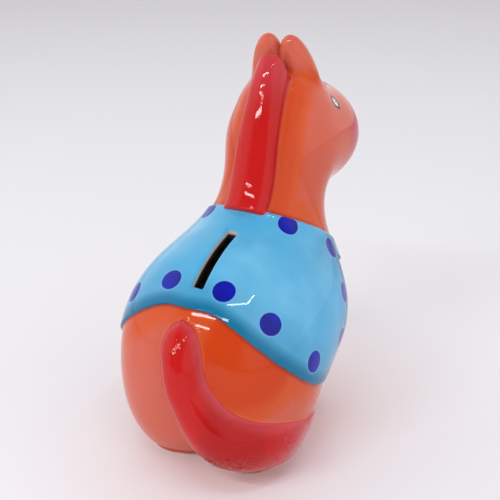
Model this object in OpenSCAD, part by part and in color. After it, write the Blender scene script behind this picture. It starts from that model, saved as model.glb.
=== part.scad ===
// Seated pony coin bank: one hollow glazed casting, shown as its named regions,
// and the soft stopper that closes the hole in its base.
// Millimetres. +Z is up, the table is z = 0, the pony looks along -Y, its right side is -X.
// The origin is the middle of the foot ring, on the table.

/* [Torso] */
// Half-width of the round barrel of the body
torso_half_w = 45; // [43:0.5:48]
// Half-length of the barrel, chest to rump
torso_half_l = 57; // [55:0.5:60]
// Half-height of the barrel
torso_half_h = 43.5; // [42:0.5:46]
// Height of the barrel's middle above the table
torso_z = 56; // [54:0.5:58]
// Softness of the blends between barrel, haunches and chest
torso_blend = 14; // [10:1:18]

/* [Neck and head] */
// Radius of the neck where it leaves the body
neck_r_low = 27.5; // [26:0.5:29]
// Radius of the neck behind the ears
neck_r_high = 19.5; // [18:0.5:21]
// Softness of the blend between neck and body
neck_blend = 15; // [12:1:18]
// Half-width of the muzzle
muzzle_half_w = 24; // [22:0.5:26]
// Height of an ear above its root
ear_h = 22.5; // [20:0.5:25]
// Half-width of an ear at its root
ear_half_w = 8.6; // [7.6:0.2:9.4]

/* [Mane and tail] */
// Half-width of the mane at its lower end
mane_half_w = 10; // [9:0.5:11]
// How far the mane stands proud of the neck
mane_h = 5.5; // [4:0.5:7]
// Share by which the tail stands more or less proud of the rump
tail_fullness = 1; // [0.8:0.05:1.1]

/* [Blanket] */
// How far the blanket stands proud of the body
blanket_relief = 1.2; // [0.6:0.2:2]
// Height of the blanket's hem over the tail
hem_rear_z = 79; // [76:1:84]
// Height of the hem at its lowest, on the flanks
hem_flank_z = 37; // [34:1:44]
// Angle round the body from the tail to where the hem begins to fall
hem_rear_angle = 7; // [4:1:12]
// Angle round the body from the tail to the lowest point of the hem
hem_flank_angle = 80; // [74:1:86]
// Height of the blanket's collar across the chest
collar_h = 9; // [6:1:12]

/* [Coin slot] */
// Length of the coin slot seen from above
slot_l = 31; // [27:1:32]
// Width of the coin slot
slot_w = 4.8; // [4.6:0.1:6]
// Distance of the slot's middle behind the origin
slot_y = 33; // [31:0.5:34]
// Sideways place of the slot, which is cut by hand
slot_x = -1; // [-2:0.5:2]

/* [Casting and base] */
// Thickness of the ceramic wall
wall = 4; // [3.5:0.5:5]
// Height of the foot ring under the floor
foot_h = 3.5; // [3:0.5:4]
// Thickness of the floor
floor_t = 4.5; // [4:0.5:5]
// Diameter of the hole in the floor
hole_d = 30; // [26:1:32]
// Distance of the hole's middle behind the origin
hole_y = 14; // [12:1:16]

/* [Stopper] */
// Radial room between the stopper's neck and the hole
stopper_gap = 0.06; // [0.02:0.01:0.09]
// Wall thickness of the stopper's cup
stopper_wall = 2; // [1.6:0.2:2.4]
// How far the stopper reaches up inside the bank
stopper_depth = 10; // [9:0.5:12]

/* [Hidden] */

// Colours
orange = "darkorange";
turquoise = "deepskyblue";
red = "firebrick";

// Columns round the body and rings along each region
columns = 56;
body_rows = 11;
blanket_rows = 9;
head_rows = 18;

// Forms that make up the body, in front-back and height places on the middle plane
torso_c = [0, 6, torso_z];
haunch_c = [18, 31, 37];
haunch_r = [26, 31, 43];
chest_c = [14, -21, 28];
chest_r = [15, 16, 36];
pad_c = [0, 8, 24];
pad_r = [34, 46, 30];
neck_low = [0, -16, 80];
neck_high = [0, -33.5, 142.5];
crown_c = [0, -43.5, 128.5];
crown_r = [27, 30, 20];
muzzle_c = [0, -58.5, 125];
muzzle_r = [muzzle_half_w, 18, 23];
crown_blend = 15;
base_round = 5;

// How much the hem has risen 45 degrees in front of its lowest point
hem_front_rise = 40;

// The neck and head are cut by planes that fan about a line in front of the chest
fan_y = -75;
fan_z = 58;
fan_start = 31;
fan_end = 91.5;
fan_end_inside = 85.5;

// Rays for the body start here, and stay inside the wall
heart = [0, 6, 52];
reach = 75;

// Clear gap under a form that sits on the skin, and the least it stands above it
seat = 0.1;
least = 0.4;

// Mane: fan angles of its lower end, which lies on the blanket, of the blanket's upper edge
// under it, and of its upper end; how much taller and slimmer it is at the top
mane_start = 30;
mane_step_up = 32.2;
mane_end = 63.5;
mane_extra_h = 7.5;
mane_top_half_w = 7.5;
mane_steps = 14;

// Ears: fan angle, distance from the middle plane, how deep the root is sunk in the crown,
// half-depth, and lean of the tips towards each other
ear_angle = 68;
ear_x = 7.8;
ear_sink = 5;
ear_half_d = 7.4;
ear_lean = 2.5;

// Tail: [angle from the rear towards the right side, height, half-width, height above the skin]
tail_route = [
    [-1, 74, 9, 6.5],
    [2, 59, 9, 9.5],
    [6, 44.5, 10.5, 10.5],
    [19, 27, 13.5, 11],
    [41, 20, 12, 5.5],
    [57, 15.5, 10.5, 2],
    [75, 17, 7.5, 1.2]
];
tail_steps = 6;
tail_end_share = 0.14;

// Base: the floor starts just inside the foot ring
hole_r = hole_d / 2;
floor_z = foot_h - 1;
foot_inset = 1.5;
foot_w = 6;

// Stopper
flange_r = hole_r + 3.5;
flange_t = 1.6;
flange_z = 0.6;
tab_l = 6;
tab_w = 10;

// --- Distances: negative inside, positive outside ---

function smooth_min(a, b, k) =
    let (h = min(max(0.5 + 0.5 * (b - a) / k, 0), 1))
    b * (1 - h) + a * h - k * h * (1 - h);
function smooth_max(a, b, k) = -smooth_min(-a, -b, k);
function over(v, r) = [v.x / r.x, v.y / r.y, v.z / r.z];
function egg(p, c, r) =
    let (q = over(p - c, r), n = norm(q))
    n * (n - 1) / (norm(over(q, r)) + 0.0001);
function round_cone(p, a, b, ra, rb) =
    let (ab = b - a, h = min(max((p - a) * ab / (ab * ab), 0), 1))
    norm(p - a - h * ab) - ra - (rb - ra) * h;
function torso(p) =
    let (m = [abs(p.x), p.y, p.z])
    smooth_min(
        smooth_min(
            smooth_min(
                egg(p, torso_c, [torso_half_w, torso_half_l, torso_half_h]),
                egg(m, haunch_c, haunch_r), torso_blend),
            egg(m, chest_c, chest_r), torso_blend),
        egg(p, pad_c, pad_r), torso_blend);
function neck(p) =
    smooth_min(
        smooth_min(
            round_cone(p, neck_low, neck_high, neck_r_low, neck_r_high),
            egg(p, crown_c, crown_r), crown_blend),
        egg(p, muzzle_c, muzzle_r), crown_blend);
function figure(p) = smooth_min(torso(p), neck(p), neck_blend);
function skin(p) = smooth_max(figure(p), -p.z, base_round);

// Point where a ray leaves the figure's surface, offset outwards by lift
function leave(p, dir, lift = 0, near = 0, far = reach, steps = 13) =
    let (mid = (near + far) / 2)
    steps == 0 ? p + dir * mid
    : skin(p + dir * mid) < lift ? leave(p, dir, lift, mid, far, steps - 1)
    : leave(p, dir, lift, near, mid, steps - 1);
// The same on the figure without its flat base
function leave_uncut(p, dir, lift = 0, near = 0, far = reach, steps = 13) =
    let (mid = (near + far) / 2)
    steps == 0 ? p + dir * mid
    : figure(p + dir * mid) < lift ? leave_uncut(p, dir, lift, mid, far, steps - 1)
    : leave_uncut(p, dir, lift, near, mid, steps - 1);

// --- Places on the skin ---

function unit(v) = v / norm(v);
function turn(i) = 360 * i / columns;
function mix(a, b, t) = a + (b - a) * t;

// Direction in a fan plane, and the middle of the neck and head there
function fan_dir(a) = [0, cos(a), sin(a)];
function fan_middle(a) =
    let (t = (a - fan_start) / (fan_end - fan_start))
    [0, fan_y, fan_z] + fan_dir(a) * (65 + t + 42 * t * (1 - t));
function head_point(a, i, lift) =
    leave(fan_middle(a), cos(turn(i)) * fan_dir(a) - [sin(turn(i)), 0, 0], lift, 0, 60);

// Directions from the heart to the neck line and to the foot, column by column
function neck_line(i) = unit(head_point(fan_start, i, 0) - heart);
function foot_point(i, lift) =
    let (from = [0, torso_c.y, foot_h], dir = [-sin(turn(i)), cos(turn(i)), 0])
    lift == 0 ? leave(from, dir) : leave_uncut(from, dir, lift);
function body_dir(top, foot, t) = unit(mix(foot, top, t));

// Height of the blanket's hem at an angle from the tail, 0 to 180
function hem_z(a) =
    let (t = min(max((a - hem_rear_angle) / (hem_flank_angle - hem_rear_angle), 0), 1))
    mix(hem_rear_z, hem_flank_z, (1 - cos(180 * t)) / 2)
        + hem_front_rise * pow(max(a - hem_flank_angle, 0) / 45, 2);
function round_angle(p) = atan2(abs(p.x), p.y - torso_c.y);

// Share of the way from the foot to the neck line where the hem crosses a column
function hem_share(top, foot, low = 0, high = 1, steps = 10) =
    let (mid = (low + high) / 2, p = leave(heart, body_dir(top, foot, mid)))
    steps == 0 ? mid
    : p.z < hem_z(round_angle(p)) ? hem_share(top, foot, mid, high, steps - 1)
    : hem_share(top, foot, low, mid, steps - 1);
function collar_share(top, foot) =
    1 - collar_h / norm(leave(heart, top) - leave(heart, foot));
function hem(top, foot) = min(hem_share(top, foot), collar_share(top, foot));

// --- Solids ---

// Closed solid through rings of equal length; the ends are fans to the two tips
module loft(rings, loop = false, tips = []) {
    n = len(rings[0]);
    m = len(rings);
    first = len(tips) > 0 ? tips[0] : [for (k = [1:n]) 1 / n] * rings[0];
    last = len(tips) > 0 ? tips[1] : [for (k = [1:n]) 1 / n] * rings[m - 1];
    points = [for (ring = rings) each ring];
    sides = [
        for (j = [0:m - (loop ? 1 : 2)], i = [0:n - 1])
            let (
                a = j * n + i,
                b = j * n + (i + 1) % n,
                c = (j + 1) % m * n + (i + 1) % n,
                d = (j + 1) % m * n + i
            )
            each [[a, c, b], [a, d, c]]
    ];
    ends = [
        for (i = [0:n - 1])
            each [
                [m * n, i, (i + 1) % n],
                [m * n + 1, (m - 1) * n + (i + 1) % n, (m - 1) * n + i]
            ]
    ];
    if (loop) polyhedron(points, sides, convexity = 8);
    else polyhedron(concat(points, [first, last]), concat(sides, ends), convexity = 8);
}

// Places and heights of one cross-section of a raised form, as a ring round its outside
// and back along what it stands on: at is on the skin, up points out, side points across,
// and lift is how far above the skin it stands
function section(at, up, side, half_w, h, lift = seat) =
    let (under = function (x) leave(at + side * x - up * 15, up, lift, 0, 30))
    concat(
        [
            for (k = [0:10])
                let (
                    x = half_w * sin(18 * k - 90),
                    low = under(x),
                    floor_h = (low - at) * up + least
                )
                at + side * x + up * max(h * cos(18 * k - 90), floor_h)
        ],
        [for (k = [3:-1:-3]) under(half_w * k / 3)]
    );

// --- Sub-parts ---

// For each column, its directions to the neck line and to the foot, and its hem
function column_dirs() =
    [
        for (i = [0:columns - 1])
            let (top = neck_line(i), foot = unit(foot_point(i, 0) - heart))
            [top, foot, hem(top, foot)]
    ];
// A ring below the hem if low, else above it, offset from the skin by lift
function body_ring(dirs, low, share, lift) =
    [
        for (c = dirs)
            let (from = low ? 0 : c[2], to = low ? c[2] : 1)
            leave_uncut(heart, body_dir(c[0], c[1], mix(from, to, share)), lift)
    ];
function skin_ring(dirs, share) =
    [for (c = dirs) leave(heart, body_dir(c[0], c[1], c[2] * share))];

module lower_body() {
    dirs = column_dirs();
    foot_out = [for (i = [0:columns - 1]) foot_point(i, 0)];
    foot_in = [for (i = [0:columns - 1]) foot_point(i, -wall)];
    outside = [for (j = [1:body_rows]) skin_ring(dirs, j / body_rows)];
    inside = [for (j = [body_rows:-1:1]) body_ring(dirs, true, j / body_rows, -wall)];
    color(orange) loft(concat([foot_out], outside, inside, [foot_in]), loop = true);
}

module blanket() {
    dirs = column_dirs();
    outside = [
        for (j = [0:blanket_rows]) body_ring(dirs, false, j / blanket_rows, blanket_relief)
    ];
    inside = [
        for (j = [blanket_rows:-1:0]) body_ring(dirs, false, j / blanket_rows, -wall)
    ];
    color(turquoise) difference() {
        loft(concat(outside, inside), loop = true);
        translate([slot_x - slot_w / 2, slot_y - slot_l / 2, torso_z])
            cube([slot_w, slot_l, 2 * torso_half_h]);
    }
}

module neck_and_head() {
    dirs = [for (i = [0:columns - 1]) neck_line(i)];
    inside = [
        for (j = [head_rows:-1:1])
            let (a = mix(fan_start, fan_end_inside, j / head_rows))
            [for (i = [0:columns - 1]) head_point(a, i, -wall)]
    ];
    seam = [for (lift = [-wall, 0]) [for (d = dirs) leave_uncut(heart, d, lift)]];
    outside = [
        for (j = [1:head_rows])
            let (a = mix(fan_start, fan_end, j / head_rows))
            [for (i = [0:columns - 1]) head_point(a, i, 0)]
    ];
    nose = [
        for (lift = [-wall, 0])
            let (a = lift == 0 ? fan_end : fan_end_inside)
            leave(fan_middle(a), [0, -sin(a), cos(a)], lift, 0, 20)
    ];
    color(orange) loft(concat(inside, seam, outside), tips = nose);
}

// One ear, on the side given by hand: 1 for the left, -1 for the right
module ear(hand) {
    up = fan_dir(ear_angle);
    along = [0, -up.z, up.y];
    at = leave(fan_middle(ear_angle) + [ear_x, 0, 0], up, seat) - ear_sink * up;
    place = function (ring, i)
        let (a = 360 * i / 24)
        [ring * ear_half_w * cos(a), 0, 0] + ring * ear_half_d * sin(a) * along;
    low = function (p) leave(at + p - 15 * up, up, seat, 0, 30);
    top = function (p, ring)
        let (
            h = ear_h * pow(1 - pow(ring, 2.2), 0.556),
            q = at + p + up * max(h, (low(p) - at) * up + least) - [ear_lean * h / ear_h, 0, 0]
        )
        [max(q.x, seat), q.y, q.z];
    outside = [
        for (k = [1:7])
            [for (i = [0:23]) top(place(sin(k * 90 / 7), i), sin(k * 90 / 7))]
    ];
    inside = [
        for (k = [3:-1:1])
            [for (i = [0:23]) let (q = low(place(k / 3, i))) [max(q.x, seat), q.y, q.z]]
    ];
    color(orange)
        mirror([hand < 0 ? 1 : 0, 0, 0])
            loft(concat(outside, inside), tips = [top([0, 0, 0], 0), low([0, 0, 0])]);
}
module left_ear() ear(1);
module right_ear() ear(-1);

module mane() {
    mane_angles = [
        mane_start, mane_step_up,
        for (j = [0:mane_steps]) mix(mane_step_up + 1, mane_end, j / mane_steps)
    ];
    color(red) loft([
        for (a = mane_angles)
            let (
                t = (a - mane_start) / (mane_end - mane_start),
                up = fan_dir(a),
                at = leave(fan_middle(a), up, seat),
                lift = a > mane_step_up ? seat : blanket_relief + seat
            )
            section(
                at, up, [-1, 0, 0],
                mix(mane_half_w, mane_top_half_w, t * t),
                mane_h + mane_extra_h * pow(t, 4), lift
            )
    ]);
}

// Value of a smooth curve through four neighbours, t from 0 to 1 between b and c
function curve(a, b, c, d, t) =
    (2 * b + (c - a) * t + (2 * a - 5 * b + 4 * c - d) * t * t
        + (3 * b - a - 3 * c + d) * t * t * t) / 2;
function tail_row(k) =
    let (n = len(tail_route) - 1)
    k < 0 ? 2 * tail_route[0] - tail_route[1]
    : k > n ? 2 * tail_route[n] - tail_route[n - 1]
    : tail_route[k];
function tail_at(s) =
    let (k = min(floor(s), len(tail_route) - 2))
    curve(tail_row(k - 1), tail_row(k), tail_row(k + 1), tail_row(k + 2), s - k);
function rump_point(angle, z) =
    leave([0, torso_c.y, z], [-sin(angle), cos(angle), 0], seat);
function skin_normal(p) =
    unit([for (d = [[0.5, 0, 0], [0, 0.5, 0], [0, 0, 0.5]]) skin(p + d) - skin(p - d)]);
// Rounds the two ends of the tail
function end_share(t) =
    let (u = min(1, min(t, 1 - t) / tail_end_share))
    sqrt(1 - (1 - u) * (1 - u));

module tail() {
    last = (len(tail_route) - 1) * tail_steps;
    color(red) loft([
        for (j = [0:last])
            let (
                t = min(max(j / last, 0.004), 0.996),
                s = t * (len(tail_route) - 1),
                row = tail_at(s),
                at = rump_point(row[0], row[1]),
                next = rump_point(tail_at(s + 0.02)[0], tail_at(s + 0.02)[1]),
                up = skin_normal(at),
                side = unit(cross(next - at, up)),
                full = end_share(t)
            )
            section(at, up, side, row[2] * full, row[3] * full * tail_fullness)
    ]);
}

// Flat outline through points, drawn in by a distance towards the middle
module outline(points, inset) {
    c = [0, torso_c.y];
    polygon([for (p = points) let (q = [p.x, p.y] - c) c + q * (1 - inset / norm(q))]);
}

module base() {
    rim = [for (i = [0:columns - 1]) foot_point(i, 0)];
    inner_rim = [for (i = [0:columns - 1]) foot_point(i, -wall)];
    color("wheat") difference() {
        union() {
            linear_extrude(foot_h) difference() {
                outline(rim, foot_inset);
                outline(rim, foot_inset + foot_w);
            }
            translate([0, 0, floor_z]) linear_extrude(floor_t) outline(inner_rim, seat);
        }
        translate([0, hole_y, -1]) cylinder(r = hole_r, h = foot_h + floor_t + 2, $fn = 96);
    }
}

module stopper() {
    neck_r = hole_r - stopper_gap;
    top = floor_z + stopper_depth;
    cup_floor = flange_z + stopper_wall;
    color("whitesmoke") translate([0, hole_y, 0]) {
        rotate_extrude($fn = 96) polygon([
            [0, flange_z], [flange_r - 0.6, flange_z], [flange_r, flange_z + 0.6],
            [flange_r, flange_z + flange_t], [neck_r, flange_z + flange_t],
            [neck_r, top - 1.5], [neck_r - 0.8, top], [neck_r - stopper_wall, top],
            [neck_r - stopper_wall, cup_floor], [0, cup_floor]
        ]);
        translate([-tab_w / 2, flange_r - 1, flange_z]) cube([tab_w, tab_l, flange_t]);
    }
}

base();
lower_body();
blanket();
neck_and_head();
left_ear();
right_ear();
mane();
tail();
stopper();
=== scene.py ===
import math

import bmesh
import bpy
import numpy as np
from mathutils import Matrix, Vector


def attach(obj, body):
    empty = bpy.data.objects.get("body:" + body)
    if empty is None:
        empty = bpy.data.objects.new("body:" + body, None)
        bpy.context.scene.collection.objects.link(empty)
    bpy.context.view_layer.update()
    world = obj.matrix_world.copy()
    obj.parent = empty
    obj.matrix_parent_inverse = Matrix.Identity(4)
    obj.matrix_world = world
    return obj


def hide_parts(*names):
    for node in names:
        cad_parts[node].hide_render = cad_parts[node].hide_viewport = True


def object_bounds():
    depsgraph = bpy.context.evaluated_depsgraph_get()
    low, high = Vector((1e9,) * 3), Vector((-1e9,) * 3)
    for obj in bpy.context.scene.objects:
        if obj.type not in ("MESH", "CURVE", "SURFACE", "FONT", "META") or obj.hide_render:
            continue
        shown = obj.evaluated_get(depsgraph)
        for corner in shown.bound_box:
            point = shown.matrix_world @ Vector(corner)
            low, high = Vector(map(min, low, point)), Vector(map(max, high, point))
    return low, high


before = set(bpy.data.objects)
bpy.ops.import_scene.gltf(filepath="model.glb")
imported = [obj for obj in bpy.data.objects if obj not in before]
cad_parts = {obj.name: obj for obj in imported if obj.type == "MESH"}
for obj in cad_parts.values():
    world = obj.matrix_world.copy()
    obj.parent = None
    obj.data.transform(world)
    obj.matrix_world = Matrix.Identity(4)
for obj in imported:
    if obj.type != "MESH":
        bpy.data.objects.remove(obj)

# A seated pony coin bank. The casting is one continuous glazed form, given here as a distance
# field in millimetres and meshed in one go, so that its named regions meet without a seam.

cad_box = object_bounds()
MM = 0.001
PITCH = 0.8

# --- Sizes, as on the CAD model ---

TORSO_C = (0, 6, 56)
TORSO_R = (45, 57, 43.5)
HAUNCH_C, HAUNCH_R = (18, 31, 37), (26, 31, 43)
CHEST_C, CHEST_R = (14, -21, 28), (15, 16, 36)
PAD_C, PAD_R = (0, 8, 24), (34, 46, 30)
TORSO_BLEND = 14
NECK_LOW, NECK_HIGH = (0, -16, 80), (0, -33.5, 142.5)
NECK_R_LOW, NECK_R_HIGH = 27.5, 19.5
CROWN_C, CROWN_R = (0, -43.5, 128.5), (27, 30, 20)
MUZZLE_C, MUZZLE_R = (0, -58.5, 125), (24, 18, 23)
CROWN_BLEND = 15
NECK_BLEND = 15
BASE_ROUND = 5

FAN = (-75, 58)
NECK_LINE = 31
NECK_MIDDLE = 65
NECK_BULGE = 42
FAN_END = 91.5

HEM_REAR, HEM_FLANK = 79, 37
HEM_FLAT, HEM_LOW = 7, 80
COLLAR = 9
RELIEF = 1.2

SLOT_C, SLOT_SIZE = (-1, 33), (4.8, 31)
WALL = 4
FOOT_H = 3.5
FLOOR_LOW, FLOOR_HIGH = 2.5, 7
FOOT_INSET, FOOT_W = 1.5, 6
HOLE_Y, HOLE_R = 14, 15

MANE_START, MANE_END = 30, 63.5
MANE_W, MANE_TOP_W = 10, 7.5
MANE_H, MANE_EXTRA_H = 5.5, 7.5
# The mane's top is flattened by a plane through these two points, each (y, z)
MANE_BEND, MANE_TIP = (-8.4, 160.6), (-20, 170.3)

EAR_ANGLE, EAR_X, EAR_SINK = 68, 7.8, 5
EAR_W, EAR_D, EAR_H, EAR_LEAN = 8.6, 7.4, 22.5, 2.5
EAR_SPREAD, EAR_RISE = 2.2, 1.8

# Angle from the rear towards the right side, height, half-width, height above the skin
TAIL_ROUTE = np.array([
    [-1, 74, 9, 6.5],
    [2, 59, 9, 9.5],
    [6, 44.5, 10.5, 10.5],
    [19, 27, 13.5, 11],
    [41, 20, 12, 5.5],
    [57, 15.5, 10.5, 2],
    [75, 17, 7.5, 1.2],
])
TAIL_END_SHARE = 0.14

# How far the mane and ears reach down into the skin that they stand on
ROOT_DEPTH = 8

# Fillets in the creases
TAIL_FILLET = 2.5
MANE_FILLET = 1.8
EAR_FILLET = 2.5
SLOT_ROUND = 1.4

# Painted dots: angle from the rear and height on the body, both sides alike
DOT_R = 4.8
DOTS = [(17, 86), (40, 75), (62, 54), (98.7, 50), (111, 68), (123, 86), (101, 100.6)]


# --- Distance fields: negative inside, positive outside ---

def smooth_min(a, b, k):
    h = np.clip(0.5 + 0.5 * (b - a) / k, 0, 1)
    return b + (a - b) * h - k * h * (1 - h)


def smooth_max(a, b, k):
    return -smooth_min(-a, -b, k)


def smooth_step(x, low, high):
    t = np.clip((x - low) / (high - low), 0, 1)
    return t * t * (3 - 2 * t)


def egg(x, y, z, c, r):
    qx, qy, qz = (x - c[0]) / r[0], (y - c[1]) / r[1], (z - c[2]) / r[2]
    n = np.sqrt(qx * qx + qy * qy + qz * qz)
    slope = np.sqrt((qx / r[0]) ** 2 + (qy / r[1]) ** 2 + (qz / r[2]) ** 2)
    return n * (n - 1) / (slope + 1e-4)


def round_cone(x, y, z, a, b, ra, rb):
    d = np.subtract(b, a)
    ax, ay, az = x - a[0], y - a[1], z - a[2]
    h = np.clip((ax * d[0] + ay * d[1] + az * d[2]) / (d @ d), 0, 1)
    gap = np.sqrt((ax - h * d[0]) ** 2 + (ay - h * d[1]) ** 2 + (az - h * d[2]) ** 2)
    return gap - ra - (rb - ra) * h


def figure(x, y, z):
    """The pony without its flat base, ears, mane, tail and blanket."""
    m = np.abs(x)
    torso = smooth_min(egg(x, y, z, TORSO_C, TORSO_R), egg(m, y, z, HAUNCH_C, HAUNCH_R), TORSO_BLEND)
    torso = smooth_min(torso, egg(m, y, z, CHEST_C, CHEST_R), TORSO_BLEND)
    torso = smooth_min(torso, egg(x, y, z, PAD_C, PAD_R), TORSO_BLEND)
    neck = smooth_min(
        round_cone(x, y, z, NECK_LOW, NECK_HIGH, NECK_R_LOW, NECK_R_HIGH),
        egg(x, y, z, CROWN_C, CROWN_R), CROWN_BLEND)
    neck = smooth_min(neck, egg(x, y, z, MUZZLE_C, MUZZLE_R), CROWN_BLEND)
    return smooth_min(torso, neck, NECK_BLEND)


def skin(x, y, z):
    return smooth_max(figure(x, y, z), -z, BASE_ROUND)


def leave(start, way, far, lift=0.0):
    """Points where rays leave the skin, offset outwards by lift."""
    near, far = np.zeros(len(start)), np.full(len(start), float(far))
    for _ in range(22):
        middle = (near + far) / 2
        inside = skin(*(start + way * middle[:, None]).T) < lift
        near, far = np.where(inside, middle, near), np.where(inside, far, middle)
    return start + way * near[:, None]


def skin_normal(points, step=0.4):
    shifts = np.eye(3) * step
    g = np.stack([skin(*(points + s).T) - skin(*(points - s).T) for s in shifts], 1)
    return g / np.linalg.norm(g, axis=1, keepdims=True)


def fan_dir(degrees):
    a = np.radians(degrees)
    return np.stack([np.zeros_like(a), np.cos(a), np.sin(a)], -1)


def fan_middle(degrees):
    t = (degrees - NECK_LINE) / (FAN_END - NECK_LINE)
    out = NECK_MIDDLE + t + NECK_BULGE * t * (1 - t)
    return np.array([0, *FAN]) + fan_dir(degrees) * np.asarray(out)[..., None]


# --- Raised forms on the skin ---

MANE_ANGLES = np.linspace(24, 72, 97)
MANE_FLOOR = np.linalg.norm(
    leave(fan_middle(MANE_ANGLES), fan_dir(MANE_ANGLES), 60) - np.array([0, *FAN]), axis=1)


def ridge(u, v, w, h):
    """Half an ellipse above its floor, with upright sides below it."""
    top = np.maximum(v, 0)
    n = np.sqrt((u / w) ** 2 + (top / h) ** 2)
    slope = np.sqrt((u / w ** 2) ** 2 + (top / h ** 2) ** 2)
    return n * (n - 1) / (slope + 1e-4)


def mane_field(x, y, z):
    r = np.hypot(y - FAN[0], z - FAN[1])
    a = np.degrees(np.arctan2(z - FAN[1], y - FAN[0]))
    t = np.clip((a - MANE_START) / (MANE_END - MANE_START), 0, 1)
    v = r - np.interp(a, MANE_ANGLES, MANE_FLOOR)
    form = ridge(x, v, MANE_W + (MANE_TOP_W - MANE_W) * t * t, MANE_H + MANE_EXTRA_H * t ** 4)
    below = np.radians(MANE_START - a) * r
    above = np.radians(a - MANE_END) * r
    form = smooth_max(smooth_max(form, above, 2.0), below, 1.5)
    along = np.subtract(MANE_TIP, MANE_BEND)
    over = ((y - MANE_BEND[0]) * along[1] - (z - MANE_BEND[1]) * along[0]) / np.hypot(*along)
    form = smooth_max(form, over, 1.2)
    return np.maximum(form, -v - ROOT_DEPTH)


def ear_field(x, y, z):
    """Both ears, mirrored about the middle plane."""
    at = EAR_SEAT
    up, along = EAR_UP, np.array([0, -EAR_UP[2], EAR_UP[1]])
    v = (y - at[1]) * along[1] + (z - at[2]) * along[2]
    w = (y - at[1]) * up[1] + (z - at[2]) * up[2]
    u = np.abs(x) - at[0] + EAR_LEAN * w / EAR_H
    q = np.sqrt((u / EAR_W) ** 2 + (v / EAR_D) ** 2) + 1e-4
    top = np.maximum(w, 0) / EAR_H
    n = q ** EAR_SPREAD + top ** EAR_RISE
    wide = EAR_SPREAD * q ** (EAR_SPREAD - 2) * np.hypot(u / EAR_W ** 2, v / EAR_D ** 2)
    tall = EAR_RISE * top ** (EAR_RISE - 1) / EAR_H
    form = (n - 1) / np.maximum(np.hypot(wide, tall), 0.08)
    return np.maximum(form, -w - EAR_SINK)


EAR_UP = fan_dir(EAR_ANGLE)
EAR_SEAT = leave(
    (fan_middle(EAR_ANGLE) + np.array([EAR_X, 0, 0]))[None], EAR_UP[None], 60)[0] - EAR_SINK * EAR_UP


def tail_rows(count):
    """The tail's route as a smooth curve through its rows: foot points, up, side, half-width, height."""
    rows = np.vstack([2 * TAIL_ROUTE[0] - TAIL_ROUTE[1], TAIL_ROUTE, 2 * TAIL_ROUTE[-1] - TAIL_ROUTE[-2]])
    s = np.linspace(0, len(TAIL_ROUTE) - 1, count)
    k = np.minimum(s.astype(int), len(TAIL_ROUTE) - 2)
    t = (s - k)[:, None]
    a, b, c, d = (rows[k + i] for i in range(4))
    row = (2 * b + (c - a) * t + (2 * a - 5 * b + 4 * c - d) * t ** 2
           + (3 * b - a - 3 * c + d) * t ** 3) / 2
    angle = np.radians(row[:, 0])
    start = np.stack([np.zeros(count), np.full(count, TORSO_C[1]), row[:, 1]], 1)
    way = np.stack([-np.sin(angle), np.cos(angle), np.zeros(count)], 1)
    at = leave(start, way, 75)
    up = skin_normal(at)
    run = np.gradient(at, axis=0)
    side = np.cross(run, up)
    side /= np.linalg.norm(side, axis=1, keepdims=True)
    share = np.linspace(0, 1, count)
    end = np.clip(np.minimum(share, 1 - share) / TAIL_END_SHARE, 0, 1)
    taper = np.maximum(np.sqrt(1 - (1 - end) ** 2), 0.12)
    return at, up, side, row[:, 2] * taper, row[:, 3] * taper


TAIL = tail_rows(161)
FAR = 30.0


def tail_share(p):
    """Place along the tail's route nearest to each point, counted in samples."""
    at, jump = TAIL[0], 8
    share = jump * ((p[:, None, :] - at[None, ::jump]) ** 2).sum(2).argmin(1).astype(float)
    for _ in range(6):
        k = np.minimum(share.astype(int), len(at) - 2)
        run = at[k + 1] - at[k]
        ahead = ((p - at[k]) * run).sum(1) / (run ** 2).sum(1) - (share - k)
        share = np.clip(share + np.clip(ahead, -jump, jump), 0, len(at) - 1)
    return share


def tail_field(x, y, z, near):
    """Only worked out where near is true; elsewhere it is far away."""
    out = np.full(x.shape, FAR, x.dtype)
    p = np.stack([x[near], y[near], z[near]], 1)
    at, up, side, w, h = TAIL
    share = tail_share(p)
    k = np.minimum(share.astype(int), len(at) - 2)
    t = share - k

    def between(values):
        part = t if values.ndim == 1 else t[:, None]
        return values[k] * (1 - part) + values[k + 1] * part

    away = p - between(at)
    v = (away * between(up)).sum(1)
    u = (away * between(side)).sum(1)
    ahead = np.sqrt(np.maximum((away ** 2).sum(1) - u ** 2 - v ** 2, 0))
    form = ridge(u, v, between(w), between(h))
    out[near] = np.where(ahead > 0.3, np.hypot(np.maximum(form, 0), ahead) + np.minimum(form, 0), form)
    return out


# --- The blanket and the base ---

def hem_height(a):
    """Height of the blanket's hem at an angle from the tail, 0 to 180 degrees."""
    t = np.clip((a - HEM_FLAT) / (HEM_LOW - HEM_FLAT), 0, 1)
    rear = HEM_REAR + (HEM_FLANK - HEM_REAR) * (1 - np.cos(np.pi * t)) / 2
    return rear + 40 * (np.maximum(a - HEM_LOW, 0) / 45) ** 2


def above_neck_line(y, z):
    a = math.radians(NECK_LINE)
    return -(y - FAN[0]) * math.sin(a) + (z - FAN[1]) * math.cos(a)


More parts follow.
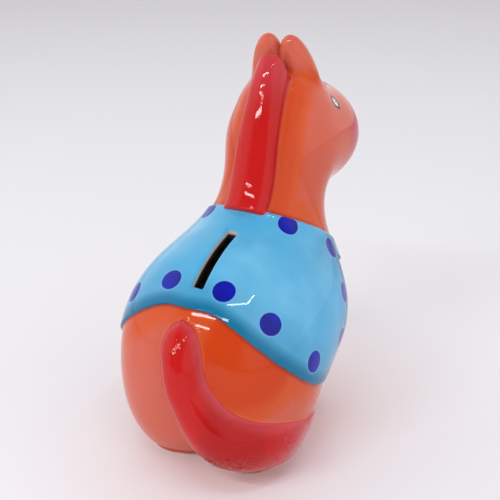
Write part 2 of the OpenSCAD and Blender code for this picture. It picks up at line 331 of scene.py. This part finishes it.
def in_blanket(x, y, z):
    """Distance along the skin inside the blanket's edge; negative outside it."""
    px, py, pz = np.abs(x), y - TORSO_C[1], z - TORSO_C[2]
    a = np.degrees(np.arctan2(px, py))
    height = z - hem_height(a)
    step = 0.5
    slope = -(hem_height(a + step) - hem_height(a - step)) / math.radians(2 * step)
    rho = np.maximum(np.hypot(px, py), 5)
    g = np.stack([slope * py / rho ** 2, -slope * px / rho ** 2, np.ones_like(px)])
    n = np.stack([px / TORSO_R[0] ** 2, py / TORSO_R[1] ** 2, pz / TORSO_R[2] ** 2])
    n /= np.maximum(np.sqrt((n ** 2).sum(0)), 1e-6)
    along = g - (g * n).sum(0) * n
    hem = height / np.maximum(np.sqrt((along ** 2).sum(0)), 0.35)
    up = above_neck_line(y, z)
    return np.minimum(-up, np.maximum(hem, COLLAR + up))


def fields(x, y, z):
    """Every field that the casting is made from, at points given in millimetres."""
    body = figure(x, y, z)
    plain = smooth_max(body, -z, BASE_ROUND)
    close = np.abs(plain) < 16
    blanket = in_blanket(x, y, z)
    dressed = plain - RELIEF * smooth_step(blanket, -0.7, 0.7)
    mane = mane_field(x, y, z)
    ears = ear_field(x, y, z)
    tail = tail_field(x, y, z, close & (y > 0) & (z < 88) & (x < 20) & (x > -62))
    out = smooth_min(dressed, tail, TAIL_FILLET)
    out = smooth_min(out, mane, MANE_FILLET)
    out = smooth_min(out, ears, EAR_FILLET)
    rim = figure(x, y, np.full_like(z, FOOT_H))
    shell = np.maximum(smooth_max(out, FOOT_H - z, 2.0), -(body + WALL))
    slot = np.maximum(np.abs(x - SLOT_C[0]) - SLOT_SIZE[0] / 2, np.abs(y - SLOT_C[1]) - SLOT_SIZE[1] / 2)
    shell = np.where(z > TORSO_C[2], smooth_max(shell, -slot, SLOT_ROUND), shell)
    ring = smooth_max(smooth_max(rim + FOOT_INSET, -(rim + FOOT_INSET + FOOT_W), 1.2), -z, 1.2)
    ring = np.maximum(ring, z - FOOT_H - 0.3)
    hole = np.hypot(x, y - HOLE_Y) - HOLE_R
    floor = np.maximum(np.maximum(z - FLOOR_HIGH, FLOOR_LOW - z), body + WALL + 0.05)
    floor = smooth_max(floor, -hole, 0.8)
    base = np.minimum(ring, floor)
    return {
        "solid": np.minimum(shell, base), "body": body, "plain": plain, "dressed": dressed,
        "blanket": blanket, "mane": mane, "ears": ears, "tail": tail, "slot": slot,
        "in_base": np.maximum(FOOT_H - z, np.minimum(FLOOR_HIGH - z, -(body + WALL))),
    }


# --- Regions of the casting ---

REGIONS = ["base", "lower_body", "blanket", "neck_and_head", "left_ear", "right_ear", "mane", "tail"]
OUTSIDE, CAVITY = 0, 1
FIRST = 2


def region_scores(x, y, z, f):
    """One row per region, positive in that region and negative in the others."""
    up = above_neck_line(y, z)
    over = f["plain"]
    mane = np.minimum(over, f["dressed"] - f["mane"])
    tail = np.minimum(over, f["dressed"] - f["tail"])
    ears = np.minimum(over, f["dressed"] - f["ears"])
    mane = np.minimum(mane, f["ears"] - f["mane"])
    ears = np.minimum(ears, f["mane"] - f["ears"])
    raised = np.maximum(np.maximum(mane, tail), ears)
    body = np.minimum(-raised, -f["in_base"])
    return np.stack([
        np.minimum(f["in_base"], -raised),
        np.minimum(np.minimum(body, -up), -f["blanket"]),
        np.minimum(np.minimum(body, -up), f["blanket"]),
        np.minimum(-raised, up),
        np.minimum(ears, x),
        np.minimum(ears, -x),
        mane,
        tail,
    ])


def sample_grid():
    """Labels and fields on a grid round the whole object."""
    low = np.array([cad_box[0][i] for i in range(3)]) / MM - 3 * PITCH
    high = np.array([cad_box[1][i] for i in range(3)]) / MM + 3 * PITCH
    axes = [np.arange(low[i], high[i], PITCH, dtype=np.float32) for i in range(3)]
    shape = tuple(len(a) for a in axes)
    solid = np.empty(shape, np.float32)
    label = np.zeros(shape, np.uint8)
    scores = np.empty((len(REGIONS), *shape), np.float32)
    slab = 4
    for first in range(0, shape[0], slab):
        part = slice(first, min(first + slab, shape[0]))
        x, y, z = (v.ravel() for v in np.meshgrid(axes[0][part], axes[1], axes[2], indexing="ij"))
        f = fields(x, y, z)
        s = region_scores(x, y, z, f)
        hollow = (f["body"] < -WALL) & (z > FLOOR_HIGH)
        air = np.where(hollow, CAVITY, OUTSIDE)
        size = (part.stop - part.start, *shape[1:])
        solid[part] = f["solid"].reshape(size)
        label[part] = np.where(f["solid"] < 0, s.argmax(0) + FIRST, air).reshape(size)
        scores[:, part] = s.reshape(len(REGIONS), *size)
    return axes, solid, label, scores


def shifted(values, axis, ends):
    """The two arrays of an edge's low and high ends along an axis."""
    take = [slice(None)] * values.ndim
    take[axis] = ends
    return values[tuple(take)]


def surface_net():
    """Vertices, and quads with the labels on their inner and outer sides."""
    axes, solid, label, scores = sample_grid()
    shape = np.array(label.shape)
    count = int(shape.prod())
    flat_label, flat_solid = label.ravel(), solid.ravel()
    flat_scores = scores.reshape(len(REGIONS), -1)
    index = np.arange(count).reshape(label.shape)
    strides = np.array([shape[1] * shape[2], shape[2], 1])
    edges, places, used = [], [], []
    for axis in range(3):
        a = shifted(index, axis, slice(0, -1)).ravel()
        b = a + strides[axis]
        la, lb = flat_label[a], flat_label[b]
        cross = (la != lb) & ((la >= FIRST) | (lb >= FIRST))
        a, b, la, lb = a[cross], b[cross], la[cross], lb[cross]
        va, vb = flat_solid[a], flat_solid[b]
        both = (la >= FIRST) & (lb >= FIRST)
        i, j = la[both] - FIRST, lb[both] - FIRST
        va[both] = flat_scores[j, a[both]] - flat_scores[i, a[both]]
        vb[both] = flat_scores[j, b[both]] - flat_scores[i, b[both]]
        t = np.clip(np.abs(va) / (np.abs(va) + np.abs(vb) + 1e-9), 0.02, 0.98)
        place = np.stack(np.unravel_index(a, label.shape), 1).astype(np.float64)
        place[:, axis] += t
        others = [k for k in range(3) if k != axis]
        u, v = others if axis != 1 else others[::-1]
        cells = np.stack([a, a - strides[u], a - strides[u] - strides[v], a - strides[v]], 1)
        edges.append((cells, la, lb))
        places.append(np.repeat(place, 4, 0))
        used.append(cells.ravel())
    cells = np.concatenate(used)
    names, where = np.unique(cells, return_inverse=True)
    total = np.bincount(where)
    spots = np.concatenate(places)
    middle = np.stack([np.bincount(where, spots[:, k]) / total for k in range(3)], 1)
    points = np.array([a[0] for a in axes]) + middle * PITCH
    quads, inner, outer = [], [], []
    lookup = np.zeros(count, np.int64)
    lookup[names] = np.arange(len(names))
    for c, la, lb in edges:
        quads.append(lookup[c])
        inner.append(la)
        outer.append(lb)
    return points, np.concatenate(quads), np.concatenate(inner), np.concatenate(outer)


def settle(points, free):
    """Moves the free points onto the casting's surface; gives their outward directions too."""
    shift = 0.12
    normal = np.zeros_like(points)
    normal[:, 2] = 1
    where = np.flatnonzero(free)
    for _ in range(4):
        p = points[where]
        value = fields(*p.T)["solid"]
        g = np.stack([
            fields(*(p + s).T)["solid"] - fields(*(p - s).T)["solid"] for s in np.eye(3) * shift
        ], 1) / (2 * shift)
        size = np.maximum((g ** 2).sum(1), 0.2)
        move = -(value / size)[:, None] * g
        longest = np.linalg.norm(move, axis=1, keepdims=True)
        move *= np.minimum(1, 0.5 * PITCH / np.maximum(longest, 1e-9))
        points[where] = p + move
        normal[where] = g / np.maximum(np.linalg.norm(g, axis=1, keepdims=True), 1e-6)
    return points, normal


def body_point(angle, height, side):
    a = math.radians(angle)
    start = np.array([[0, TORSO_C[1], height]], float)
    way = np.array([[side * math.sin(a), math.cos(a), 0]])
    return leave(start, way, 75, RELIEF)[0]


def dot_centres():
    return np.array([body_point(a, z, side) for a, z in DOTS for side in (-1, 1)])


def add_attributes(mesh, points):
    f = fields(*points.T)
    dots = dot_centres()
    nearest = dots[((points[:, None, :] - dots[None]) ** 2).sum(2).argmin(1)]
    values = {
        "blanket_edge": f["blanket"],
        "mane_edge": np.minimum(f["dressed"], f["ears"]) - f["mane"],
        "ear_edge": f["dressed"] - f["ears"],
        "tail_edge": f["dressed"] - f["tail"],
        "slot_edge": f["slot"],
        "depth": -f["dressed"],
        "body": f["body"],
        "dot_away": np.sqrt(((points - nearest) ** 2).sum(1)),
    }
    for name, value in values.items():
        mesh.attributes.new(name, "FLOAT", "POINT").data.foreach_set("value", value.astype(np.float32))
    centre = mesh.attributes.new("dot_centre", "FLOAT_VECTOR", "POINT")
    centre.data.foreach_set("vector", (nearest * MM).astype(np.float32).ravel())


def region_mesh(name, number, points, normals, quads, inner, outer):
    """The closed mesh of one region; its faces know whether they are outside, inside or a seam."""
    mine = (inner == number) | (outer == number)
    faces = quads[mine].copy()
    turned = outer[mine] == number
    faces[turned] = faces[turned][:, ::-1]
    beyond = np.where(turned, inner[mine], outer[mine])
    kept, faces = np.unique(faces, return_inverse=True)
    faces = faces.reshape(-1, 4)
    mesh = bpy.data.meshes.new(name)
    mesh.vertices.add(len(kept))
    low, high = (np.array(corner) for corner in cad_box)
    places = np.clip(points[kept] * MM, low + 1e-5, high - 1e-5)
    places[:, 2] = np.where(points[kept][:, 2] <= 0, 0, places[:, 2])
    mesh.vertices.foreach_set("co", places.astype(np.float32).ravel())
    mesh.loops.add(faces.size)
    mesh.loops.foreach_set("vertex_index", faces.astype(np.int32).ravel())
    mesh.polygons.add(len(faces))
    mesh.polygons.foreach_set("loop_start", np.arange(0, faces.size, 4, dtype=np.int32))
    mesh.polygons.foreach_set("material_index", np.where(beyond == OUTSIDE, 0, 1).astype(np.int32))
    mesh.polygons.foreach_set("use_smooth", np.ones(len(faces), bool))
    mesh.update(calc_edges=True)
    mesh.validate()
    add_attributes(mesh, points[kept])
    mesh.normals_split_custom_set_from_vertices(normals[kept].astype(np.float32))
    return mesh


# --- Materials ---

class Nodes:
    """A material's node tree, with short calls for the nodes used here."""

    def __init__(self, name):
        self.material = bpy.data.materials.new(name)
        self.material.use_nodes = True
        self.tree = self.material.node_tree
        self.shader = self.tree.nodes["Principled BSDF"]

    def link(self, value, socket):
        if isinstance(value, bpy.types.NodeSocket):
            self.tree.links.new(value, socket)
        else:
            socket.default_value = value

    def math(self, kind, a, b=0.0, c=0.0):
        node = self.tree.nodes.new("ShaderNodeMath")
        node.operation = kind
        for value, socket in zip((a, b, c), node.inputs):
            self.link(value, socket)
        return node.outputs[0]

    def vector(self, kind, a, b):
        node = self.tree.nodes.new("ShaderNodeVectorMath")
        node.operation = kind
        self.link(a, node.inputs[0])
        self.link(b, node.inputs[1])
        return node.outputs["Value" if kind in ("DISTANCE", "DOT_PRODUCT", "LENGTH") else "Vector"]

    def attribute(self, name, output="Fac"):
        node = self.tree.nodes.new("ShaderNodeAttribute")
        node.attribute_name = name
        return node.outputs[output]

    def place(self):
        return self.tree.nodes.new("ShaderNodeTexCoord").outputs["Object"]

    def millimetres(self):
        return self.vector("MULTIPLY", self.place(), (1 / MM, 1 / MM, 1 / MM))

    def split(self, vector):
        node = self.tree.nodes.new("ShaderNodeSeparateXYZ")
        self.link(vector, node.inputs[0])
        return node.outputs

    def noise(self, scale, detail=2.0, stretch=(1, 1, 1), roughness=0.5):
        spread = self.vector("MULTIPLY", self.place(), stretch)
        node = self.tree.nodes.new("ShaderNodeTexNoise")
        self.link(spread, node.inputs["Vector"])
        node.inputs["Scale"].default_value = scale
        node.inputs["Detail"].default_value = detail
        node.inputs["Roughness"].default_value = roughness
        return node.outputs["Fac"]

    def step(self, value, low, high):
        node = self.tree.nodes.new("ShaderNodeMapRange")
        node.interpolation_type = "SMOOTHSTEP"
        self.link(value, node.inputs["Value"])
        node.inputs["From Min"].default_value = low
        node.inputs["From Max"].default_value = high
        return node.outputs["Result"]

    def below(self, value, low, high):
        return self.math("SUBTRACT", 1.0, self.step(value, low, high))

    def mix(self, share, a, b):
        node = self.tree.nodes.new("ShaderNodeMix")
        node.data_type = "RGBA"
        self.link(share, node.inputs["Factor"])
        for value, socket in ((a, node.inputs["A"]), (b, node.inputs["B"])):
            colours = [s for s in node.inputs if s.name == socket.name and s.type == "RGBA"]
            self.link((*value, 1) if isinstance(value, tuple) else value, colours[0])
        return [s for s in node.outputs if s.type == "RGBA"][0]

    def bump(self, heights, distance, strength):
        node = self.tree.nodes.new("ShaderNodeBump")
        node.inputs["Strength"].default_value = strength
        node.inputs["Distance"].default_value = distance
        self.link(heights, node.inputs["Height"])
        self.tree.links.new(node.outputs["Normal"], self.shader.inputs["Normal"])


PEACH, PEACH_PALE = (0.62, 0.092, 0.042), (0.66, 0.13, 0.08)
ORANGE, ORANGE_DEEP = (0.66, 0.085, 0.015), (0.60, 0.048, 0.001)
TURQUOISE, TURQUOISE_PALE, TEAL = (0.075, 0.41, 0.70), (0.17, 0.53, 0.80), (0.002, 0.165, 0.32)
RED, RED_DEEP = (0.56, 0.005, 0.004), (0.44, 0.002, 0.002)
# Pink for the painted reflection on the mane's top and along the tail's edges
PINK_SHEEN = (0.60, 0.07, 0.09)
NAVY, NAVY_DEEP, HALO = (0.0005, 0.005, 0.38), (0.0005, 0.002, 0.24), (0.16, 0.40, 0.78)
CLAY = (0.62, 0.55, 0.44)
# Colour of the painted shadow on the orange just below the blanket's raised hem
HEM_SHADOW = (0.30, 0.022, 0.003)
BLUSH = (0.50, 0.05, 0.13)
BLACK, WHITE = (0.012, 0.011, 0.018), (0.80, 0.80, 0.80)

# The face, for the left half; the right half is its mirror image. Places in millimetres
EYE, EYE_LONG, EYE_WIDE = (21.6, -43, 145.6), (0.51, -0.29, -0.81), (0.24, 0.95, -0.19)
EYE_HALF_L, EYE_HALF_W = 4.3, 2.8
EYE_OUTLINE, PUPIL_R = 1.3, 0.43
CHEEK, NOSTRIL = (25, -57, 128), (6.5, -77.5, 128)
MOUTH_Z, MOUTH_HALF_W = 116, 10
# Centre of the painted shade on the right of the rump, where the orange is painted deeper
RUMP_SHADE_CENTRE = (-27, 55, 60)


def face_paint(n, colour):
    """Cheeks, eyes, nostrils and mouth, painted over the given colour."""
    x, y, z = n.split(n.millimetres())
    side = n.math("ABSOLUTE", x)
    half = n.tree.nodes.new("ShaderNodeCombineXYZ")
    for value, socket in zip((side, y, z), half.inputs):
        n.link(value, socket)
    half = half.outputs[0]

    blur = n.math("MULTIPLY", n.noise(120, 2), 4.0)
    cheek = n.math("ADD", n.vector("DISTANCE", half, CHEEK), blur)
    colour = n.mix(n.math("MULTIPLY", n.below(cheek, 6, 16), 0.75), colour, BLUSH)

    away = n.vector("SUBTRACT", half, EYE)
    near = n.below(n.vector("LENGTH", away, (0, 0, 0)), 7, 7.5)
    long = n.vector("DOT_PRODUCT", away, EYE_LONG)
    wide = n.vector("DOT_PRODUCT", away, EYE_WIDE)

    def almond(inset):
        u = n.math("DIVIDE", long, EYE_HALF_L - inset * 1.3)
        v = n.math("DIVIDE", n.math("ABSOLUTE", wide), EYE_HALF_W - inset)
        return n.math("MULTIPLY", near, n.below(n.math("MULTIPLY_ADD", u, u, v), 0.93, 1.07))

    colour = n.mix(almond(0), colour, BLACK)
    colour = n.mix(almond(EYE_OUTLINE), colour, WHITE)
    pupil = n.math("MULTIPLY", long, long)
    shift = n.math("ADD", wide, 0.5)
    pupil = n.math("SQRT", n.math("MULTIPLY_ADD", shift, shift, pupil))
    colour = n.mix(n.math("MULTIPLY", near, n.below(pupil, PUPIL_R - 0.08, PUPIL_R + 0.07)), colour, BLACK)

    nostril = n.below(n.vector("DISTANCE", half, NOSTRIL), 1.5, 1.8)
    colour = n.mix(nostril, colour, RED_DEEP)
    smile = n.math("MULTIPLY_ADD", n.math("MULTIPLY", x, x), 1 / 36, MOUTH_Z)
    line = n.below(n.math("ABSOLUTE", n.math("SUBTRACT", z, smile)), 0.35, 0.6)
    line = n.math("MULTIPLY", line, n.below(side, MOUTH_HALF_W - 0.5, MOUTH_HALF_W))
    return n.mix(n.math("MULTIPLY", line, n.below(y, -62, -61)), colour, RED_DEEP)


def painted_glaze():
    n = Nodes("painted_glaze")
    wobble = n.math("MULTIPLY_ADD", n.noise(90, 2), 0.9, -0.45)
    streaks = n.noise(30, 3, (1, 1, 0.35))
    edge = n.math("ADD", n.attribute("blanket_edge"), wobble)
    mane, tail, ear = (n.attribute(name + "_edge") for name in ("mane", "tail", "ear"))

    orange = n.mix(n.step(n.noise(14, 2), 0.35, 0.65), PEACH, PEACH_PALE)
    place = n.millimetres()
    high = n.split(place)["Z"]
    # Painted shade: deeper orange round the right of the rump, beside the mane and just below the blanket's
    # hem; the ears are deeper orange below their tips
    ragged = n.math("MULTIPLY_ADD", n.noise(45, 3), 14.0, -7.0)
    from_rump_shade = n.math("ADD", n.vector("DISTANCE", place, RUMP_SHADE_CENTRE), ragged)
    shade_beside_mane = n.math("MULTIPLY", n.step(n.math("MULTIPLY_ADD", ragged, 0.3, mane), -12, -5), 0.8)
    shade_under_hem = n.math("MULTIPLY", n.step(n.math("ADD", ragged, edge), -16, -3), 0.55)
    on_ear = n.math("MULTIPLY", n.step(ear, -1.5, 1.5), n.below(high, 152, 168))
    shade_beside_mane = n.math("MULTIPLY", shade_beside_mane, n.below(high, 150, 166))
    deep_orange = n.math("MAXIMUM", n.below(from_rump_shade, 14, 30), n.math("MAXIMUM", shade_beside_mane, shade_under_hem))
    deep_orange = n.math("MAXIMUM", deep_orange, on_ear)
    orange = n.mix(n.step(deep_orange, 0.0, 0.5), orange, ORANGE)
    orange = n.mix(n.step(deep_orange, 0.45, 1.0), orange, ORANGE_DEEP)
    orange = n.mix(n.math("MULTIPLY", n.step(streaks, 0.52, 0.75), 0.25), orange, ORANGE_DEEP)
    # Painted shadow: a dark orange line just below the blanket's raised hem
    orange = n.mix(n.math("MULTIPLY", n.step(edge, -2.0, -0.7), 0.6), orange, HEM_SHADOW)
    orange = face_paint(n, orange)

    turquoise = n.mix(n.step(n.noise(26, 3), 0.35, 0.7), TURQUOISE, TURQUOISE_PALE)
    hem = n.math("MAXIMUM", n.below(edge, 1.5, 11.0), n.math("MULTIPLY", n.below(edge, 6, 24), 0.35))
    turquoise = n.mix(n.math("MULTIPLY", hem, n.below(high, 86, 95)), turquoise, TEAL)

    away = n.math("MULTIPLY", n.vector("DISTANCE", n.place(), n.attribute("dot_centre", "Vector")), 1000.0)
    away = n.math("ADD", away, n.math("MULTIPLY", wobble, 0.7))
    far = n.step(n.attribute("dot_away"), DOT_R + 3, DOT_R + 4)
    away = n.math("ADD", away, n.math("MULTIPLY", far, 50.0))
    halo = n.below(away, DOT_R, DOT_R + 1.1)
    turquoise = n.mix(n.math("MULTIPLY", halo, 0.6), turquoise, HALO)
    navy = n.mix(n.step(n.noise(160, 3, (1, 1, 0.4)), 0.4, 0.65), NAVY, NAVY_DEEP)
    turquoise = n.mix(n.below(away, DOT_R - 0.25, DOT_R + 0.15), turquoise, navy)
    colour = n.mix(n.step(edge, -0.5, 0.1), orange, turquoise)

    red = n.mix(n.step(n.noise(40, 3, (1, 1, 0.3)), 0.4, 0.7), RED, RED_DEEP)
    # Painted reflection: the mane turns pink towards its top
    mane_top_sheen = n.math("MULTIPLY", n.step(high, 143, 172), 0.55)
    # Painted reflection: pale pink bands along both edges of the tail
    tail_edge_sheen = n.math("MULTIPLY", n.step(tail, 0.2, 0.6), n.below(tail, 1, 6))
    red = n.mix(n.math("MAXIMUM", mane_top_sheen, n.math("MULTIPLY", tail_edge_sheen, 0.7)), red, PINK_SHEEN)
    raised = n.math("ADD", n.math("MAXIMUM", mane, tail), n.math("MULTIPLY", wobble, 0.4))
    colour = n.mix(n.step(raised, -0.3, 0.4), colour, red)

    bare = n.math("MULTIPLY", n.step(n.attribute("depth"), 0.5, 1.0),
                  n.below(n.attribute("slot_edge"), 0.4, 0.8))
    # Painted shade: the slot's bare clay walls are painted black deeper than about 2 mm in, where the cavity
    # is dark
    inside = n.math("MULTIPLY", bare, n.step(n.attribute("depth"), 1.5, 2.5))
    colour = n.mix(inside, n.mix(bare, colour, CLAY), BLACK)
    n.link(colour, n.shader.inputs["Base Color"])

    rough = n.math("MULTIPLY_ADD", n.noise(60, 2), 0.05, 0.03)
    n.link(n.math("MULTIPLY_ADD", bare, 0.6, rough), n.shader.inputs["Roughness"])
    n.shader.inputs["IOR"].default_value = 1.38
    waves = n.math("ADD", n.noise(55, 1), n.math("MULTIPLY", n.noise(420, 1), 0.10))
    n.bump(waves, 0.0004, 0.25)
    return n.material


def bisque():
    """Bare clay; the orange glaze runs down the outside of the foot ring to just above the table."""
    n = Nodes("bisque")
    tone = n.mix(n.step(n.noise(300, 4), 0.3, 0.7), (0.70, 0.63, 0.52), (0.56, 0.49, 0.39))
    height = n.math("MULTIPLY_ADD", n.noise(200, 2), 0.0006, n.split(n.place())["Z"])
    glazed = n.math("MULTIPLY", n.step(n.attribute("body"), -3.2, -2.8), n.step(height, 0.0009, 0.0012))
    n.link(n.mix(glazed, tone, PEACH), n.shader.inputs["Base Color"])
    n.link(n.math("MULTIPLY_ADD", glazed, -0.75, 0.85), n.shader.inputs["Roughness"])
    n.bump(n.noise(1500, 3), 0.00015, 0.5)
    return n.material


def stopper_rubber():
    n = Nodes("stopper_rubber")
    tone = n.mix(n.step(n.noise(120, 3), 0.3, 0.7), (0.72, 0.72, 0.69), (0.62, 0.62, 0.58))
    n.link(tone, n.shader.inputs["Base Color"])
    n.link(n.math("MULTIPLY_ADD", n.noise(200, 2), 0.15, 0.38), n.shader.inputs["Roughness"])
    n.bump(n.noise(2200, 2), 0.00006, 0.4)
    return n.material


# --- Pieces ---


def make_casting(glaze, clay):
    points, quads, inner, outer = surface_net()
    free = np.zeros(len(points), bool)
    airy = (inner < FIRST) | (outer < FIRST)
    free[np.unique(quads[airy])] = True
    points, normals = settle(points, free)
    for k, region in enumerate(REGIONS):
        mesh = region_mesh("cast_" + region, k + FIRST, points, normals, quads, inner, outer)
        mesh.materials.append(clay if region == "base" else glaze)
        mesh.materials.append(clay)
        piece = bpy.data.objects.new("cast_" + region, mesh)
        bpy.context.collection.objects.link(piece)
        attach(piece, "casting")
        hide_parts(region)


# The stopper's pull tab: from, to and width of each of its bars, away from the stopper's axis
TAB_BARS = [(17, 23.5, 10), (20, 20.8, 8), (21.8, 22.6, 8)]
TAB_Z, TAB_THICK = 1.4, 1.6


def stopper_profile():
    """Radius and height round the stopper's axis, in millimetres, from the middle of its foot."""
    neck, top, cup = 14.94, 12.5, 2.6
    foot = [(0, 1.0), (9, 1.0), (9.6, 0.6), (17.6, 0.6)]
    rim = [(18.5 - 0.8 + 0.8 * math.sin(a), 1.4 - 0.8 * math.cos(a)) for a in np.linspace(0.2, math.pi, 9)]
    wall = [(neck + 0.5, 2.2), (neck, 2.6), (neck - 0.3, 4), (neck - 0.3, 9.2), (neck, 9.9), (neck, 11)]
    lip = [(neck - 0.3, 11.9), (neck - 0.9, top), (neck - 1.6, top), (neck - 2, 12.1), (neck - 2, cup + 0.7)]
    return foot + rim + wall + lip + [(neck - 2.7, cup), (0, cup)]


def make_stopper(rubber):
    """A soft cup with a flange and a pull tab that has two grip ribs."""
    form = bmesh.new()
    around = 96
    rings = []
    for radius, height in stopper_profile():
        if radius == 0:
            rings.append([form.verts.new((0, HOLE_Y * MM, height * MM))])
            continue
        turns = [2 * math.pi * k / around for k in range(around)]
        rings.append([
            form.verts.new((radius * math.cos(t) * MM, (HOLE_Y + radius * math.sin(t)) * MM, height * MM))
            for t in turns])
    for a, b in zip(rings, rings[1:]):
        for k in range(around):
            j = (k + 1) % around
            corners = [a[k % len(a)], b[k % len(b)], b[j % len(b)], a[j % len(a)]]
            form.faces.new(list(dict.fromkeys(corners)))
    for low, high, wide in TAB_BARS:
        box = bmesh.ops.create_cube(form, size=1)["verts"]
        scale = Matrix.Diagonal((wide * MM, (high - low) * MM, TAB_THICK * MM, 1))
        shift = Matrix.Translation((0, (HOLE_Y + (low + high) / 2) * MM, TAB_Z * MM))
        bmesh.ops.transform(form, matrix=shift @ scale, verts=box)
        sides = list({e for v in box for e in v.link_edges})
        bmesh.ops.bevel(form, geom=sides, offset=0.25 * MM, segments=3, affect="EDGES")
    bmesh.ops.recalc_face_normals(form, faces=form.faces)
    mesh = bpy.data.meshes.new("stopper_cup")
    form.to_mesh(mesh)
    form.free()
    mesh.polygons.foreach_set("use_smooth", np.ones(len(mesh.polygons), bool))
    mesh.materials.append(rubber)
    piece = bpy.data.objects.new("stopper_cup", mesh)
    bpy.context.collection.objects.link(piece)
    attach(piece, "stopper")
    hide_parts("stopper")


# --- Stage, light and camera ---

def make_floor():
    n = Nodes("paper")
    near = n.mix(n.noise(3, 1), (0.88, 0.88, 0.91), (0.91, 0.91, 0.94))
    # Painted light falloff: the paper is painted darker farther from the pony
    away = n.step(n.vector("LENGTH", n.place(), (0, 0, 0)), 0.3, 2.0)
    n.link(n.mix(away, near, (0.72, 0.71, 0.75)), n.shader.inputs["Base Color"])
    n.shader.inputs["Roughness"].default_value = 0.6
    bpy.ops.mesh.primitive_plane_add(size=12, location=(0, 0, 0))
    floor = bpy.context.object
    floor.name = "floor"
    floor.data.materials.append(n.material)


def towards(azimuth, elevation):
    a, e = math.radians(azimuth), math.radians(elevation)
    return np.array([math.sin(a) * math.cos(e), -math.cos(a) * math.cos(e), math.sin(e)])


AIM = np.array([0, 0, 0.0842])
ROOM, WALLS = 0.38, 1.10


def place_looking(thing, azimuth, elevation, distance):
    back = towards(azimuth, elevation)
    thing.location = AIM + back * distance
    thing.rotation_mode = "QUATERNION"
    thing.rotation_quaternion = Vector(-back).to_track_quat("-Z", "Y")


def strip_light(name, start, end, distance, width, brightness):
    """A straight lamp between two directions given as (azimuth, elevation)."""
    a, b = (towards(*way) * distance for way in (start, end))
    middle, run = (a + b) / 2, b - a
    data = bpy.data.lights.new(name, "AREA")
    data.shape = "RECTANGLE"
    data.size, data.size_y = width, float(np.linalg.norm(run))
    data.energy = brightness * math.pi * data.size * data.size_y
    lamp = bpy.data.objects.new(name, data)
    bpy.context.collection.objects.link(lamp)
    back = Vector(middle).normalized()
    side = Vector(run).cross(back).normalized()
    turn = Matrix((side, back.cross(side), back)).transposed()
    lamp.matrix_world = Matrix.Translation(Vector(AIM + middle)) @ turn.to_4x4()


def make_light():
    """White walls at both sides and in front of the pony, a dimmer room behind it, thin lamps."""
    world = bpy.data.worlds.new("studio")
    bpy.context.scene.world = world
    world.use_nodes = True
    nodes, links = world.node_tree.nodes, world.node_tree.links
    split = nodes.new("ShaderNodeSeparateXYZ")
    links.new(nodes.new("ShaderNodeTexCoord").outputs["Generated"], split.inputs[0])

    def calculate(kind, a, b):
        node = nodes.new("ShaderNodeMath")
        node.operation = kind
        for value, socket in zip((a, b), node.inputs):
            if isinstance(value, float):
                socket.default_value = value
            else:
                links.new(value, socket)
        return node.outputs[0]

    across = calculate("ABSOLUTE", split.outputs["X"], 0.0)
    ahead = calculate("MULTIPLY", split.outputs["Y"], -1.0)
    wall = nodes.new("ShaderNodeMapRange")
    wall.interpolation_type = "SMOOTHSTEP"
    links.new(calculate("MAXIMUM", across, ahead), wall.inputs["Value"])
    wall.inputs["From Min"].default_value, wall.inputs["From Max"].default_value = 0.38, 0.70
    wall.inputs["To Min"].default_value, wall.inputs["To Max"].default_value = ROOM, WALLS
    back = nodes["Background"]
    back.inputs["Color"].default_value = (1.0, 0.985, 1.0, 1)
    links.new(wall.outputs["Result"], back.inputs["Strength"])
    strip_light("lamp_rear", (186, 61), (232, 63), 1.3, 0.025, 34)
    strip_light("lamp_side", (232, 63), (258, 67), 1.3, 0.025, 34)
    strip_light("lamp_high", (150, 37), (192, 45), 1.3, 0.06, 26)
    strip_light("lamp_low", (150, 26), (172, 31), 1.3, 0.045, 26)


def make_camera():
    data = bpy.data.cameras.new("camera")
    data.sensor_width = 36
    data.lens = 18 / math.tan(math.radians(30.9 / 2))
    camera = bpy.data.objects.new("camera", data)
    bpy.context.collection.objects.link(camera)
    place_looking(camera, 207.4, 22.7, 0.4104)
    bpy.context.scene.camera = camera


make_camera()
make_light()
make_floor()
make_casting(painted_glaze(), bisque())
make_stopper(stopper_rubber())
bpy.context.scene.view_settings.view_transform = "Standard"
